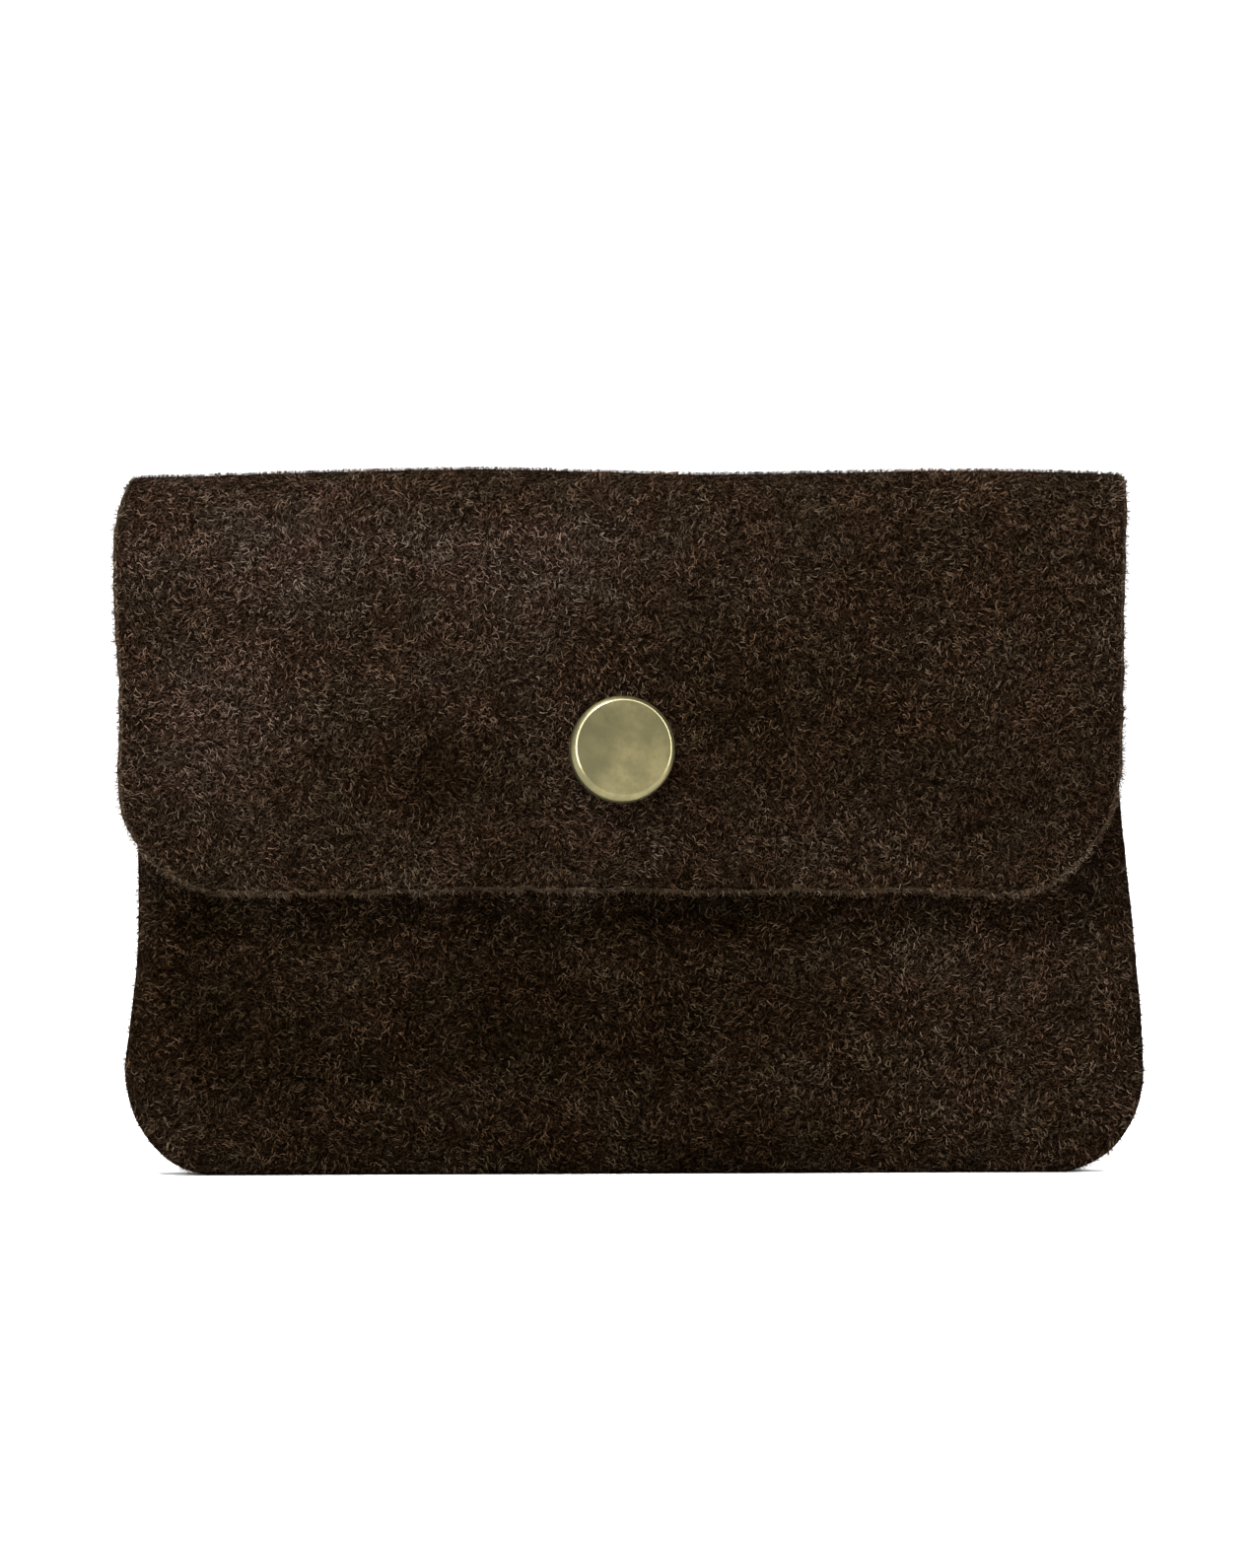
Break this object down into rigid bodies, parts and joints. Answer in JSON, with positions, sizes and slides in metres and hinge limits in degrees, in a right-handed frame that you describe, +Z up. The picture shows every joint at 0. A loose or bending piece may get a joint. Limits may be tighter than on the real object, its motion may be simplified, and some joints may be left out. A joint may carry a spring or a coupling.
{
  "type": "flap coin purse",
  "caption": "Soft suede flap purse: two turned panels with a lining and a zipped inner coin pocket, closed by a fold-over flap with a brass press stud.",
  "frame": {"origin": "middle of the base, below the centre of the whole closed purse", "axes": "+Z up with the purse standing on its bottom edge, front and flap towards -Y, +X to the right seen from the front"},
  "size_m": [0.146, 0.023, 0.1],
  "materials": {
    "suede": "dark brown suede, napped, slightly brushed",
    "lining": "plain woven cotton lining",
    "thread": "polyester sewing thread",
    "zip_tape": "herringbone woven zip tape",
    "antique_brass": "antique brass, satin, lightly mottled",
    "spring_steel": "bright drawn wire"
  },
  "bodies": {
    "root": {"front_panel": "suede", "rear_panel": "suede", "seam_thread": "thread", "lining_front": "lining", "lining_rear": "lining", "mouth_thread": "thread", "pocket_bag": "lining", "zip_tape_upper": "zip_tape", "zip_tape_lower": "zip_tape", "zip_teeth_upper": "antique_brass", "zip_teeth_lower": "antique_brass", "zip_stitching": "thread", "zip_top_stops": "antique_brass", "zip_bottom_stop": "antique_brass", "snap_stud": "antique_brass", "snap_post": "antique_brass"},
    "fold": {"fold_strip": "suede"},
    "flap": {"flap": "suede", "snap_cap": "antique_brass", "snap_socket": "antique_brass", "snap_spring": "spring_steel"},
    "slider": {"zip_slider": "antique_brass"},
    "pull": {"zip_pull": "antique_brass"}
  },
  "joints": [
    {"name": "rear_crease", "type": "hinge", "parent": "root", "child": "fold", "pos_m": [0, 0.01075, 0.0993], "axis": [-1, 0, 0], "range_deg": [0, 90]},
    {"name": "front_crease", "type": "hinge", "parent": "fold", "child": "flap", "pos_m": [0, -0.00845, 0.0993], "axis": [-1, 0, 0], "range_deg": [0, 90]},
    {"name": "zip_slide", "type": "slide", "parent": "root", "child": "slider", "axis": [-1, 0, 0], "range_m": [0, 0.086], "deforming": ["zip_teeth_upper", "zip_teeth_lower"]},
    {"name": "pull_swing", "type": "hinge", "parent": "slider", "child": "pull", "pos_m": [0.0446, 0.0046, 0.09], "axis": [0, 1, 0], "range_deg": [-60, 60]}
  ],
  "couplings": [
    {"joint": "front_crease", "follows": "rear_crease", "ratio": 1}
  ]
}
